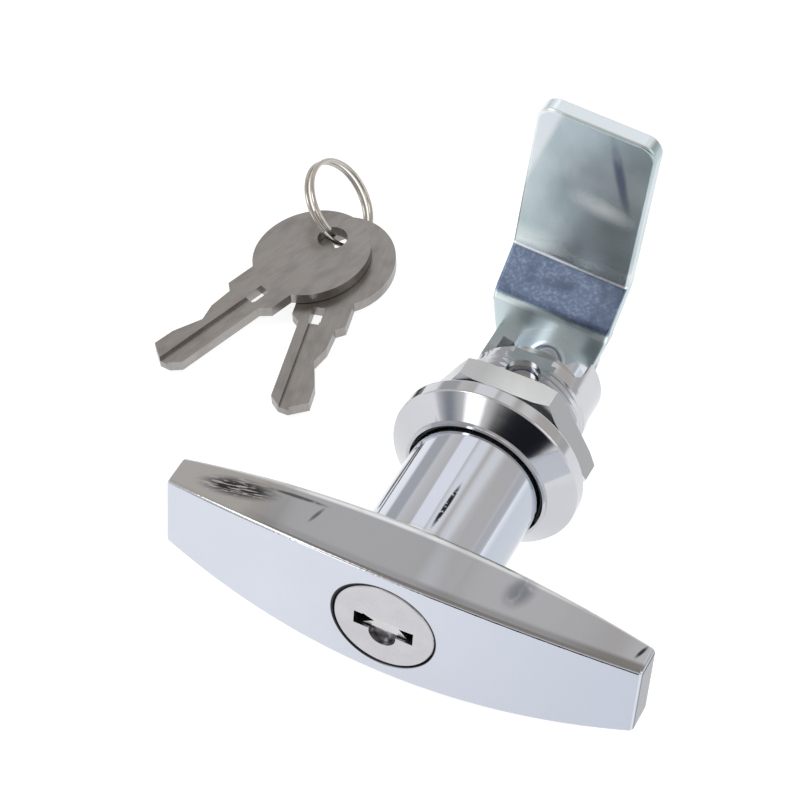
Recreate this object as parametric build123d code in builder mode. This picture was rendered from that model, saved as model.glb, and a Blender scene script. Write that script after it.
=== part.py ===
# T-handle lock for a panel door, with its two keys on a split ring.
# Millimetres. The shaft lies along +Y, from the handle in front to the cam behind,
# and the cam points up +Z. The origin is on the shaft's axis, in the plane where the
# back of the collar seats on the panel.

import os
from math import cos, radians, sin, sqrt, tan

from build123d import *

os.makedirs("parts", exist_ok=True)

# Handle bar
bar_length = 72.0
bar_height = 20.6  # at the middle
bar_end_height = 12.8
bar_front_y = -35.5  # middle of the bowed front face
bar_bow = 4.3  # how far the ends lie behind the middle
bar_thickness = 10.5  # at the middle
bar_back_bow = 1.0
bar_edge_radius = 0.7

# Shaft
shaft_radius = 10.0
shaft_end_y = -1.7
journal_radius = 7.4
stub_radius = 6.4
stub_step = 0.8  # how far the journal stands past the floor of the tail's recess
square_proud = 0.5  # start of the square behind the tail's end
square_size = 8.0
square_length = 4.8
square_corner = 0.8
running_clearance = 0.06

# Collar and threaded tail
lip_gap = 0.95
lip_depth = 0.6
mouth_gap = 0.5
mouth_floor_y = -1.5
collar_radius = 14.5
collar_depth = 5.5
collar_rim = 2.4
collar_edge_radius = 0.35
tail_radius = 9.5
tail_length = 18.5
tail_neck = 1.7
thread_pitch = 1.0
thread_depth = 0.55
thread_end = 5.9  # before the tail's end
relief_radius = 9.2
flat_height = 8.7
pocket_radius = 8.35
pocket_depth = 4.0
stop_depth = 4.9
stop_start_angle = 57.0
stop_end_angle = 180.0
stop_corner_radius = 2.9
stop_corner = 2.0  # before the tail's end

# Gasket, seal and nut
gasket_outer = 13.4
gasket_inner = 10.4
gasket_thickness = 0.9
seal_section = 1.66
seal_y = -4.3
nut_width = 24.0  # across flats
nut_thickness = 4.0
nut_y = 1.9
nut_chamfer = 0.5
thread_clearance = 0.04

# Lock plug
plug_radius = 7.72
plug_gap = 0.08
plug_recess = 0.1
plug_length = 22.3
plug_edge = 0.3
bore_edge = 0.25
keyway_mouth_width = 9.0  # of the keyway, as far as the shutter
keyway_mouth_top = 0.95
keyway_mouth_bottom = -1.5
key_side_gap = 0.4  # of the blade in the keyway, both sides together
scoop_radius = 2.05
scoop_depth = 1.0
scoop_x = -0.1
scoop_z = -1.85

# Wafers, from the face inwards
wafer_count = 6
wafer_pitch = 2.5
first_wafer_y = -30.45
wafer_thickness = 1.5
wafer_width = 7.0
wafer_inset = 0.12
wafer_travel = 0.6
wafer_window_gap = 0.4  # round the keyway, both sides together
wafer_gap = 0.04
ear_height = 1.8
ear_left = 1.4
ear_right = 2.8
pocket_left = -3.7
groove_reach = 0.7  # past the plug's bore
groove_gap = 0.15
spring_radius = 0.6

# Plug retainer
retainer_y = -15.2
retainer_thickness = 2.0
retainer_width = 8.0
retainer_reach = 0.5  # past the plug's bore
retainer_gap = 0.12

# Keyway shutter
shutter_thickness = 0.6
shutter_inset = 0.5
shutter_pin_z = 1.5
shutter_pin_radius = 0.45
shutter_pin_gap = 0.04
shutter_bottom_z = -1.25
shutter_half_width = 4.2
shutter_left_notch = [(-4.2, 0.75), (-1.6, -0.15), (-3.3, -1.25)]
shutter_right_notch = [(3.4, -1.25), (2.1, 0.1), (4.2, 0.2)]
shutter_side_gap = 0.15
shutter_pocket_top = 2.15
shutter_pocket_depth = 3.45

# Spindle and locking bolt
spindle_radius = 2.5
spindle_end_y = 6.8
tongue_length = 1.8
tongue_width = 4.6
bolt_y = 9.4
bolt_radius = 2.4
bolt_bottom_z = -3.2
bolt_travel = 1.1
bolt_recess = 0.35
bolt_hole_clearance = 0.2
bolt_socket_reach = 8.3  # the right-hand hole is a socket that stops inside the thread
bolt_chamfer = 0.3
crank_radius = bolt_travel / sqrt(2)
crank_pin_radius = 1.3
crank_gap = 0.12

# Circlip, stop plate, cam and its fasteners
circlip_radius = 7.7
circlip_thickness = 1.0
circlip_gap = 0.2
circlip_groove_radius = 5.7
circlip_opening = 4.0
plate_thickness = 2.0
plate_wall = 2.3  # from the square's side to the plate's rim
lug_inner = 7.85
lug_outer = 9.25
lug_width = 4.0
lug_end_gap = 0.25
cam_width = 18.3
cam_thickness = 3.0
cam_offset = 5.0
cam_bend_z = 10.0
cam_upper_bend_z = 15.5
cam_top_z = 43.3
cam_foot_radius = 7.5
cam_full_width_z = 8.0
cam_turn = 3.2  # degrees that the strap stands off the line of its square hole
cam_shift = -1.5
cam_bend_radius = 3.0
cam_corner_radius = 2.6
cam_edge_radius = 0.5
square_clearance = 0.05
screw_radius = 3.0
screw_length = 12.0
screw_clearance = 0.05
tapped_hole_depth = 11.2
washer_radius = 6.25
washer_hole = 3.2
washer_thickness = 1.2
spring_washer_radius = 5.3
spring_washer_thickness = 1.6
spring_washer_split = 0.9
screw_head_width = 10.0
screw_head_height = 4.0

# Keys and ring, on the surface that carries the collar's lowest point
floor_z = -collar_radius
key_thickness = 1.8
key_bow_length = 19.6
key_bow_width = 17.2
key_hole_radius = 2.35
key_hole_offset = 4.4
key_neck_width = 8.8
key_shoulder = 13.3
key_blade_width = 6.0
key_length = 31.2  # middle of the bow to the tip
key_cut_scale = 0.78  # of the cuts' lengths and depths
groove_depth = 0.6
groove_width = 1.6
groove_middle = -0.6
window_length = 3.0
window_width = 1.9
key_stack_gap = 0.1
key_lift = 2.35
key_1_angle = -111.0
key_2_angle = -78.5
key_1_slope = 0.083
key_2_slope = 0.0374
ring_radius = 7.1
ring_wire = 0.75
ring_pitch = 1.2
ring_turns = 1.8
ring_arcs = 8
ring_start = 249.0  # the wire is single where it passes the keys
ring_lean = 47.2
ring_facing = 100.2  # turn of the ring's width from +X
ring_x = -45.84
ring_y = 43.66

# Sizes and places that follow from the values above
lip_radius = shaft_radius + lip_gap
mouth_radius = shaft_radius + mouth_gap
stub_y = tail_length - stop_depth + stub_step
circlip_y = stub_y + circlip_gap
square_y = tail_length + square_proud
thread_end_y = tail_length - thread_end
stop_corner_y = tail_length - stop_corner
plate_radius = square_size / 2 + plate_wall
plug_bore_radius = plug_radius + plug_gap
wafer_radius = plug_radius - wafer_inset
retainer_radius = plug_bore_radius + retainer_reach
groove_radius = plug_bore_radius + groove_reach
keyway_width = key_blade_width + key_side_gap
keyway_height = key_thickness + key_side_gap
wafer_window_width = keyway_width + wafer_window_gap
wafer_window_height = keyway_height + wafer_window_gap
gasket_y = -gasket_thickness
plug_front_y = bar_front_y + plug_recess
plug_back_y = plug_front_y + plug_length
cam_y = square_y + plate_thickness
washer_y = cam_y + cam_thickness
spring_washer_y = washer_y + washer_thickness
screw_head_y = spring_washer_y + spring_washer_thickness
bolt_top_z = journal_radius - bolt_recess
wafer_middles = [first_wafer_y + wafer_pitch * i for i in range(wafer_count)]


def across(y):
    """Plane square to the shaft at y, seen from the front: X right, Z up, back along -Z of the plane."""
    return Plane.XZ.offset(-y)


def turned(points):
    """Solid of revolution about the shaft, from a closed outline of (radius, y) points."""
    with BuildPart() as solid:
        with BuildSketch(Plane.XY):
            with BuildLine():
                Polyline(*points, close=True)
            make_face()
        revolve(axis=Axis.Y)
    return solid.part


def finish(piece, name):
    """Names a finished piece and writes it."""
    piece.label = name
    export_step(piece, f"parts/{name}.step")


# Housing: collar, threaded tail with a flat on top, a place for the bolt at each end of
# the quarter turn, and the recess in the end face in which the stop lug travels
tail_end_y = tail_length
cone_back_y = -collar_rim
lip_front_y = -collar_depth
# Outlines are turned from the lower left, clear of the holes and the recess
outline_plane = Plane(origin=(0, 0, 0), x_dir=(-1, 0, -1), z_dir=(1, 0, -1))
with BuildPart() as housing:
    with BuildSketch(outline_plane):
        with BuildLine():
            Polyline(
                (mouth_radius, lip_front_y),
                (lip_radius, lip_front_y),
                (lip_radius, lip_front_y + lip_depth),
                (collar_radius, cone_back_y),
                (collar_radius, 0),
                (tail_radius, 0),
                (tail_radius, thread_end_y),
                (relief_radius, thread_end_y),
                (relief_radius, tail_end_y),
                (pocket_radius, tail_end_y),
                (pocket_radius, tail_end_y - pocket_depth),
                (journal_radius + running_clearance, tail_end_y - pocket_depth),
                (journal_radius + running_clearance, mouth_floor_y),
                (mouth_radius, mouth_floor_y),
                close=True,
            )
        make_face()
    revolve(axis=Axis.Y)
    collar_edges = housing.edges().filter_by(GeomType.CIRCLE).filter_by(
        lambda e: abs(e.radius - collar_radius) < 0.01
    )
    fillet(collar_edges, radius=collar_edge_radius)
    # Groove for the gasket in the back of the collar
    with BuildSketch(across(gasket_y)):
        Circle(gasket_outer)
        Circle(gasket_inner, mode=Mode.SUBTRACT)
    extrude(amount=-gasket_thickness, mode=Mode.SUBTRACT)
    # Thread, as ridges
    with BuildSketch(outline_plane):
        ridge_count = int((thread_end_y - tail_neck) / thread_pitch)
        for i in range(ridge_count):
            valley_y = tail_neck + thread_pitch * (i + 0.5)
            with BuildLine():
                Polyline(
                    (tail_radius + 0.01, valley_y - thread_pitch * 0.42),
                    (tail_radius - thread_depth, valley_y),
                    (tail_radius + 0.01, valley_y + thread_pitch * 0.42),
                    close=True,
                )
            make_face()
    revolve(axis=Axis.Y, mode=Mode.SUBTRACT)
    # Flat on top
    with BuildSketch(across(0)):
        with Locations((0, flat_height + tail_radius / 2)):
            Rectangle(2 * tail_radius, tail_radius)
    extrude(amount=-tail_length, mode=Mode.SUBTRACT)
    # Bolt hole through the flat, and a socket for the bolt in the bore's right side
    with BuildSketch(Plane.XY.offset(journal_radius - 1)):
        with Locations((0, bolt_y)):
            Circle(bolt_radius + bolt_hole_clearance)
    extrude(amount=tail_radius, mode=Mode.SUBTRACT)
    with BuildSketch(Plane.YZ.offset(journal_radius - 1)):
        with Locations((bolt_y, 0)):
            Circle(bolt_radius + bolt_hole_clearance)
    extrude(amount=bolt_socket_reach - journal_radius + 1, mode=Mode.SUBTRACT)
    # Stop recess, with a round corner where the lug ends its travel
    reach = 2 * tail_radius
    with BuildSketch(across(tail_end_y - stop_depth)):
        with BuildLine():
            start = radians(stop_start_angle)
            end = radians(stop_end_angle)
            middle = (start + end) / 2
            Polyline(
                (0, 0),
                (reach * cos(start), reach * sin(start)),
                (reach * cos(middle), reach * sin(middle)),
                (reach * cos(end), reach * sin(end)),
                close=True,
            )
        make_face()
    extrude(amount=-stop_depth, mode=Mode.SUBTRACT)
    corner_plane = Plane(
        origin=(6 * cos(start), stop_corner_y, 6 * sin(start)),
        x_dir=(0, 1, 0),
        z_dir=(cos(start), 0, sin(start)),
    )
    with BuildSketch(corner_plane):
        Circle(stop_corner_radius)
        with Locations((stop_corner_radius, 0)):
            Rectangle(2 * stop_corner_radius, 2 * stop_corner_radius)
    extrude(amount=tail_radius, mode=Mode.SUBTRACT)
finish(housing.part, "housing")

# Rubber gasket, flush in the back of the collar
with BuildPart() as panel_gasket:
    with BuildSketch(across(gasket_y)):
        Circle(gasket_outer)
        Circle(gasket_inner, mode=Mode.SUBTRACT)
    extrude(amount=-gasket_thickness)
finish(panel_gasket.part, "panel_gasket")

# Hexagon nut on the tail, a flat side up
with BuildPart() as hex_nut:
    with BuildSketch(across(nut_y)):
        RegularPolygon(nut_width / 2, 6, major_radius=False)
        Circle(tail_radius + thread_clearance, mode=Mode.SUBTRACT)
    extrude(amount=-nut_thickness)
    corner_radius = nut_width / sqrt(3)
    bevel_radius = corner_radius - nut_chamfer * 2
    bevel = turned(
        [
            (0, nut_y),
            (bevel_radius, nut_y),
            (corner_radius + 0.1, nut_y + nut_chamfer),
            (corner_radius + 0.1, nut_y + nut_thickness - nut_chamfer),
            (bevel_radius, nut_y + nut_thickness),
            (0, nut_y + nut_thickness),
        ]
    )
    add(bevel, mode=Mode.INTERSECT)
finish(hex_nut.part, "hex_nut")

# T-handle: the bar, the shaft, the journal and the square end, one casting
half_length = bar_length / 2
bar_back_y = bar_front_y + bar_thickness
with BuildPart() as t_handle:
    with BuildSketch(Plane.XY):
        with BuildLine():
            ThreePointArc(
                (-half_length, bar_front_y + bar_bow),
                (0, bar_front_y),
                (half_length, bar_front_y + bar_bow),
            )
            Line((half_length, bar_front_y + bar_bow), (half_length, bar_back_y - bar_back_bow))
            ThreePointArc(
                (half_length, bar_back_y - bar_back_bow),
                (0, bar_back_y),
                (-half_length, bar_back_y - bar_back_bow),
            )
            Line((-half_length, bar_back_y - bar_back_bow), (-half_length, bar_front_y + bar_bow))
        make_face()
    extrude(amount=bar_height, both=True)
    with BuildSketch(across(0)):
        with BuildLine():
            ThreePointArc(
                (-half_length, bar_end_height / 2),
                (0, bar_height / 2),
                (half_length, bar_end_height / 2),
            )
            Line((half_length, bar_end_height / 2), (half_length, -bar_end_height / 2))
            ThreePointArc(
                (half_length, -bar_end_height / 2),
                (0, -bar_height / 2),
                (-half_length, -bar_end_height / 2),
            )
            Line((-half_length, -bar_end_height / 2), (-half_length, bar_end_height / 2))
        make_face()
    extrude(amount=-2 * bar_front_y, mode=Mode.INTERSECT)
    fillet(t_handle.edges(), radius=bar_edge_radius)
    # Shaft, seal groove, journal, circlip groove and stub
    with BuildSketch(Plane.XY):
        with BuildLine():
            Polyline(
                (0, bar_back_y - 1),
                (shaft_radius, bar_back_y - 1),
                (shaft_radius, seal_y - seal_section / 2 - 0.07),
                (mouth_radius - seal_section - 0.06, seal_y - seal_section / 2 - 0.07),
                (mouth_radius - seal_section - 0.06, seal_y + seal_section / 2 + 0.07),
                (shaft_radius, seal_y + seal_section / 2 + 0.07),
                (shaft_radius, shaft_end_y),
                (journal_radius, shaft_end_y),
                (journal_radius, stub_y),
                (stub_radius, stub_y),
                (stub_radius, circlip_y),
                (circlip_groove_radius, circlip_y),
                (circlip_groove_radius, circlip_y + circlip_thickness),
                (stub_radius, circlip_y + circlip_thickness),
                (stub_radius, square_y),
                (0, square_y),
                close=True,
            )
        make_face()
    revolve(axis=Axis.Y)
    with BuildSketch(across(square_y)):
        RectangleRounded(square_size, square_size, square_corner)
    extrude(amount=-square_length)
    # Bore for the plug, with a chamfered mouth
    with BuildSketch(across(bar_front_y)):
        Circle(plug_bore_radius)
    extrude(amount=-(plug_back_y - bar_front_y + 0.1), mode=Mode.SUBTRACT)
    mouth = turned(
        [
            (0, bar_front_y - 0.01),
            (plug_bore_radius + bore_edge, bar_front_y - 0.01),
            (plug_bore_radius, bar_front_y + bore_edge),
            (0, bar_front_y + bore_edge),
        ]
    )
    add(mouth, mode=Mode.SUBTRACT)
    # Bore for the spindle, ending behind the bolt
    with BuildSketch(across(plug_back_y)):
        Circle(spindle_radius + running_clearance)
    extrude(amount=-(bolt_y + 0.4 - plug_back_y), mode=Mode.SUBTRACT)
    # Cross hole for the bolt
    with BuildSketch(Plane.XY.offset(bolt_bottom_z - 0.1)):
        with Locations((0, bolt_y)):
            Circle(bolt_radius + running_clearance)
    extrude(amount=2 * journal_radius, mode=Mode.SUBTRACT)
    # Tapped hole for the cam's screw
    with BuildSketch(across(square_y + square_length)):
        Circle(screw_radius)
    extrude(amount=tapped_hole_depth, mode=Mode.SUBTRACT)
    # Grooves that the wafers spring into, at each end of the key's quarter turn
    groove_half = wafer_width / 2 + groove_gap
    groove_start = wafer_middles[0] - wafer_thickness
    groove_run = wafer_middles[-1] + wafer_thickness - groove_start
    with BuildSketch(across(groove_start)):
        with Locations((groove_radius / 2, 0)):
            Rectangle(groove_radius, 2 * groove_half)
        with Locations((0, -groove_radius / 2)):
            Rectangle(2 * groove_half, groove_radius)
    extrude(amount=-groove_run, mode=Mode.SUBTRACT)
    # Ring groove for the plug's retainer
    with BuildSketch(across(retainer_y - retainer_thickness / 2 - retainer_gap)):
        Circle(groove_radius)
    extrude(amount=-(retainer_thickness + 2 * retainer_gap), mode=Mode.SUBTRACT)
finish(t_handle.part, "t_handle")

# Rubber seal ring in the shaft's groove, behind the collar's lip
with BuildPart() as shaft_seal:
    with BuildSketch(Plane.XY):
        with Locations((mouth_radius - 0.05 - seal_section / 2, seal_y)):
            Circle(seal_section / 2)
    revolve(axis=Axis.Y)
finish(shaft_seal.part, "shaft_seal")

# Lock plug: round, with the keyway, slots for the wafers, pockets for their springs,
# a slot for the retainer and a pocket behind the face for the shutter
shutter_y = plug_front_y + shutter_inset
with BuildPart() as lock_plug:
    with BuildSketch(across(plug_front_y)):
        Circle(plug_radius)
    extrude(amount=-plug_length)
    front_edge = lock_plug.edges().filter_by(GeomType.CIRCLE).sort_by(Axis.Y)[0]
    chamfer(front_edge, length=plug_edge)
    with BuildSketch(across(plug_front_y)):
        Rectangle(keyway_width, keyway_height)
    extrude(amount=-plug_length, mode=Mode.SUBTRACT)
    with BuildSketch(across(plug_front_y)):
        with Locations((0, (keyway_mouth_top + keyway_mouth_bottom) / 2)):
            Rectangle(keyway_mouth_width, keyway_mouth_top - keyway_mouth_bottom)
    extrude(amount=-(shutter_inset - 0.1 + shutter_pocket_depth), mode=Mode.SUBTRACT)
    # Round scoop below the middle of the keyway
    with BuildSketch(across(plug_front_y)):
        with Locations((scoop_x, scoop_z)):
            Circle(scoop_radius)
    extrude(amount=-scoop_depth, mode=Mode.SUBTRACT)
    # Room in which the shutter swings, and the holes for its pin
    pocket_left_x = -shutter_half_width - shutter_side_gap
    pocket_right_x = shutter_half_width + shutter_side_gap
    with BuildSketch(across(shutter_y - 0.1)):
        with Locations(((pocket_left_x + pocket_right_x) / 2, shutter_pocket_top / 2)):
            Rectangle(pocket_right_x - pocket_left_x, shutter_pocket_top)
    extrude(amount=-shutter_pocket_depth, mode=Mode.SUBTRACT)
    pin_y = shutter_y + shutter_pin_radius
    with BuildSketch(Plane.YZ.offset(pocket_left_x - 0.7)):
        with Locations((pin_y, shutter_pin_z)):
            Circle(shutter_pin_radius + shutter_pin_gap)
    extrude(amount=pocket_right_x - pocket_left_x + 1.4, mode=Mode.SUBTRACT)
    # Wafer slots with a pocket for each spring
    slot_half = wafer_thickness / 2 + wafer_gap
    pocket_right = ear_right + wafer_travel + 0.2
    for y in wafer_middles:
        with BuildSketch(across(y - slot_half)):
            Rectangle(2 * plug_radius + 1, wafer_width + 2 * wafer_gap)
            with Locations(((pocket_left + pocket_right) / 2, wafer_width / 2 + ear_height / 2)):
                Rectangle(pocket_right - pocket_left, ear_height + 4 * wafer_gap)
        extrude(amount=-2 * slot_half, mode=Mode.SUBTRACT)
    # Retainer slot, open at the top
    with BuildSketch(across(retainer_y - retainer_thickness / 2 - wafer_gap)):
        with Locations((0, plug_radius)):
            Rectangle(retainer_width + 2 * wafer_gap, 2 * plug_radius - keyway_height - 1)
    extrude(amount=-(retainer_thickness + 2 * wafer_gap), mode=Mode.SUBTRACT)
finish(lock_plug.part, "lock_plug")

# Keyway shutter: a flap on a pin, notched at both sides
with BuildPart() as keyway_shutter:
    with BuildSketch(across(shutter_y)):
        with BuildLine():
            Polyline(
                (-shutter_half_width, shutter_pin_z),
                *shutter_left_notch,
                *shutter_right_notch,
                (shutter_half_width, shutter_pin_z),
                close=True,
            )
        make_face()
    extrude(amount=-shutter_thickness)
    with BuildSketch(Plane.YZ.offset(pocket_left_x - 0.6)):
        with Locations((pin_y, shutter_pin_z)):
            Circle(shutter_pin_radius)
    extrude(amount=pocket_right_x - pocket_left_x + 1.2)
finish(keyway_shutter.part, "keyway_shutter")


def make_wafer(y):
    """One wafer: a plate with a window for the key, and an ear for its spring."""
    with BuildPart() as wafer:
        with BuildSketch(across(y - wafer_thickness / 2)):
            Circle(wafer_radius)
            Rectangle(2 * wafer_radius, wafer_width, mode=Mode.INTERSECT)
            with Locations(((ear_left + ear_right) / 2, wafer_width / 2 + ear_height / 2 - 0.5)):
                Rectangle(ear_right - ear_left, ear_height + 1)
            Rectangle(wafer_window_width, wafer_window_height, mode=Mode.SUBTRACT)
        extrude(amount=-wafer_thickness)
    return wafer.part


# Wafers, one in each slot, and a spring beside each
for i, y in enumerate(wafer_middles):
    finish(make_wafer(y), f"wafer_{i + 1}")

with BuildPart() as wafer_springs:
    spring_z = wafer_width / 2 + ear_height / 2
    with BuildSketch(Plane.YZ.offset(pocket_left + 0.05)):
        with Locations(*[(y, spring_z) for y in wafer_middles]):
            Circle(spring_radius)
    extrude(amount=ear_left - pocket_left - 0.1)
finish(wafer_springs.part, "wafer_springs")

# Plug retainer: a spring-loaded plate that stands out into the ring groove
retainer_bottom = keyway_height / 2 + 0.6
with BuildPart() as plug_retainer:
    with BuildSketch(across(retainer_y - retainer_thickness / 2)):
        Circle(retainer_radius)
        with Locations((0, retainer_bottom + retainer_radius / 2)):
            Rectangle(retainer_width, retainer_radius, mode=Mode.INTERSECT)
    extrude(amount=-retainer_thickness)
finish(plug_retainer.part, "plug_retainer")

# Drive spindle: a tongue in the keyway's back end, a rod, and an eccentric pin that
# swings from 45 degrees below the level of its axis to 45 above
crank_x = -crank_radius * cos(radians(45))
crank_z = -crank_radius * sin(radians(45))
with BuildPart() as drive_spindle:
    with BuildSketch(across(plug_back_y)):
        Circle(spindle_radius)
    extrude(amount=-(spindle_end_y - plug_back_y))
    with BuildSketch(across(plug_back_y - tongue_length)):
        Rectangle(tongue_width, keyway_height - 0.1)
    extrude(amount=-tongue_length)
    with BuildSketch(across(spindle_end_y)):
        with Locations((crank_x, crank_z)):
            Circle(crank_pin_radius)
    extrude(amount=-(bolt_y - spindle_end_y))
finish(drive_spindle.part, "drive_spindle")

# Locking bolt: a round pin across the journal, cut for the eccentric pin
with BuildPart() as locking_bolt:
    with BuildSketch(Plane.XY.offset(bolt_bottom_z)):
        with Locations((0, bolt_y)):
            Circle(bolt_radius)
    extrude(amount=bolt_top_z - bolt_bottom_z)
    top_edge = locking_bolt.edges().filter_by(GeomType.CIRCLE).sort_by(Axis.Z)[-1]
    chamfer(top_edge, length=bolt_chamfer)
    with BuildSketch(across(bolt_y - bolt_radius - 0.1)):
        with Locations((0, crank_z)):
            Rectangle(3 * bolt_radius, 2 * (crank_pin_radius + crank_gap))
    extrude(amount=-(bolt_radius + 0.3), mode=Mode.SUBTRACT)
finish(locking_bolt.part, "locking_bolt")

# Circlip in the shaft's groove, in the pocket of the housing's end
with BuildPart() as shaft_circlip:
    with BuildSketch(across(circlip_y)):
        Circle(circlip_radius)
        Circle(circlip_groove_radius + 0.02, mode=Mode.SUBTRACT)
        with Locations((0, -circlip_radius)):
            Rectangle(circlip_opening, circlip_radius * 1.2, mode=Mode.SUBTRACT)
    extrude(amount=-circlip_thickness)
finish(shaft_circlip.part, "shaft_circlip")

# Stop plate: square hole, and a lug bent forwards into the housing's recess
lug_half_angle = lug_width / 2 / lug_inner
lug_angle = radians(stop_end_angle) - lug_half_angle - 0.02
lug_front_y = tail_end_y - stop_depth + lug_end_gap
with BuildPart() as stop_plate:
    with BuildSketch(across(square_y)):
        Circle(plate_radius)
        with Locations(Location((0, 0), stop_end_angle - 15.6)):
            with Locations((lug_outer / 2, 0)):
                Rectangle(lug_outer, lug_width)
        RectangleRounded(
            square_size + 2 * square_clearance,
            square_size + 2 * square_clearance,
            square_corner,
            mode=Mode.SUBTRACT,
        )
    extrude(amount=-plate_thickness)
    with BuildSketch(across(lug_front_y)):
        with Locations(Location((0, 0), stop_end_angle - 15.6)):
            with Locations(((lug_inner + lug_outer) / 2, 0)):
                Rectangle(lug_outer - lug_inner, lug_width)
    extrude(amount=-(square_y - lug_front_y + plate_thickness / 2))
finish(stop_plate.part, "stop_plate")

# Cam: a cranked strap with a round foot, narrower than the strap, and a square hole
cam_middle_y = cam_y + cam_thickness / 2
bend_shift = cam_thickness / 2 * (sqrt(1 + (cam_offset / (cam_upper_bend_z - cam_bend_z)) ** 2) - 1)
with BuildPart() as cam_strap:
    with BuildSketch(Plane.YZ):
        with BuildLine():
            FilletPolyline(
                (cam_middle_y, -cam_width),
                (cam_middle_y, cam_bend_z - bend_shift),
                (cam_middle_y + cam_offset, cam_upper_bend_z - bend_shift),
                (cam_middle_y + cam_offset, cam_top_z + 1),
                radius=cam_bend_radius,
            )
        trace(line_width=cam_thickness)
    extrude(amount=cam_width, both=True)
    with BuildSketch(across(cam_y - 1)):
        with BuildLine():
            half = cam_width / 2
            foot = cam_foot_radius
            Line((foot, 0), (half, cam_full_width_z))
            Line((half, cam_full_width_z), (half, cam_top_z - cam_corner_radius))
            RadiusArc(
                (half, cam_top_z - cam_corner_radius),
                (half - cam_corner_radius, cam_top_z),
                -cam_corner_radius,
            )
            Line((half - cam_corner_radius, cam_top_z), (-half + cam_corner_radius, cam_top_z))
            RadiusArc(
                (-half + cam_corner_radius, cam_top_z),
                (-half, cam_top_z - cam_corner_radius),
                -cam_corner_radius,
            )
            Line((-half, cam_top_z - cam_corner_radius), (-half, cam_full_width_z))
            Line((-half, cam_full_width_z), (-foot, 0))
            ThreePointArc((-foot, 0), (0, -foot), (foot, 0))
        make_face()
    extrude(amount=-(cam_offset + cam_thickness + 2), mode=Mode.INTERSECT)
    fillet(cam_strap.edges(), radius=cam_edge_radius)
with BuildPart() as cam:
    add(cam_strap.part.moved(Location((cam_shift, 0, 0), (0, cam_turn, 0))))
    with BuildSketch(across(cam_y - 1)):
        RectangleRounded(
            square_size + 2 * square_clearance,
            square_size + 2 * square_clearance,
            square_corner,
        )
    extrude(amount=-(cam_thickness + 2), mode=Mode.SUBTRACT)
finish(cam.part, "cam")

# Flat washer behind the cam
with BuildPart() as flat_washer:
    with BuildSketch(across(washer_y)):
        Circle(washer_radius)
        Circle(washer_hole, mode=Mode.SUBTRACT)
    extrude(amount=-washer_thickness)
finish(flat_washer.part, "flat_washer")

# Split spring washer
with BuildPart() as spring_washer:
    with BuildSketch(across(spring_washer_y)):
        Circle(spring_washer_radius)
        Circle(washer_hole, mode=Mode.SUBTRACT)
        with Locations((0, spring_washer_radius)):
            Rectangle(spring_washer_split, spring_washer_radius * 1.2, mode=Mode.SUBTRACT)
    extrude(amount=-spring_washer_thickness)
finish(spring_washer.part, "spring_washer")

# Hexagon screw into the end of the shaft
with BuildPart() as cam_screw:
    with BuildSketch(across(screw_head_y)):
        RegularPolygon(screw_head_width / 2, 6, major_radius=False)
    extrude(amount=-screw_head_height)
    head_radius = screw_head_width / sqrt(3)
    head_bevel = turned(
        [
            (0, screw_head_y),
            (head_radius + 0.1, screw_head_y),
            (head_radius + 0.1, screw_head_y + screw_head_height - nut_chamfer),
            (head_radius - 2 * nut_chamfer, screw_head_y + screw_head_height),
            (0, screw_head_y + screw_head_height),
        ]
    )
    add(head_bevel, mode=Mode.INTERSECT)
    with BuildSketch(across(screw_head_y)):
        Circle(screw_radius - screw_clearance)
    extrude(amount=screw_length)
finish(cam_screw.part, "cam_screw")

# Split ring, standing on the floor and leaning to the left, with the keys' holes on its
# front side
facing = radians(ring_facing)
lean = radians(ring_lean)
ring_width_dir = Vector(cos(facing), sin(facing), 0)
ring_back_dir = Vector(-sin(facing), cos(facing), 0)
ring_reach = ring_radius * sin(lean) + ring_pitch * cos(lean)
ring_centre_z = floor_z + ring_reach + ring_wire / 2
ring_plane = Plane(
    origin=(ring_x, ring_y, ring_centre_z),
    x_dir=tuple(ring_width_dir),
    z_dir=tuple(Vector(0, 0, 1) * cos(lean) - ring_back_dir * sin(lean)),
)


def ring_point(angle):
    """Point of the wire's middle line, angle in degrees from the start of the first turn."""
    a = radians(ring_start + angle)
    rise = ring_pitch * (angle / 360 - ring_turns / 2)
    return ring_plane.from_local_coords((ring_radius * cos(a), ring_radius * sin(a), rise))


def ring_direction(angle):
    """Direction of the wire there."""
    return (ring_point(angle + 0.01) - ring_point(angle - 0.01)).normalized()


with BuildPart() as key_ring:
    step = 360 * ring_turns / ring_arcs
    with BuildLine() as ring_line:
        for i in range(ring_arcs):
            # Two arcs that share a tangent where they meet
            start_point = ring_point(step * i)
            end_point = ring_point(step * (i + 1))
            start_dir = ring_direction(step * i)
            end_dir = ring_direction(step * (i + 1))
            chord = end_point - start_point
            both = start_dir + end_dir
            spread = 2 * (1 - start_dir.dot(end_dir))
            along = chord.dot(both)
            reach = (sqrt(along**2 + spread * chord.dot(chord)) - along) / spread
            middle_point = (start_point + end_point + (start_dir - end_dir) * reach) * 0.5
            middle_dir = (chord - both * reach).normalized()
            TangentArc(start_point, middle_point, tangent=start_dir)
            TangentArc(middle_point, end_point, tangent=middle_dir)
    with BuildSketch(Plane(origin=ring_line.line @ 0, z_dir=ring_line.line % 0)):
        Circle(ring_wire / 2)
    sweep(path=ring_line.line)
finish(key_ring.part, "key_ring")
samples = [ring_point(360 * ring_turns * i / 400) for i in range(401)]
least_gap = min(
    (samples[i] - samples[j]).length - ring_wire
    for i in range(401)
    for j in range(i + 60, 401)
)
print(f"key_ring: least gap between its turns {least_gap:.2f} mm")


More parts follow.
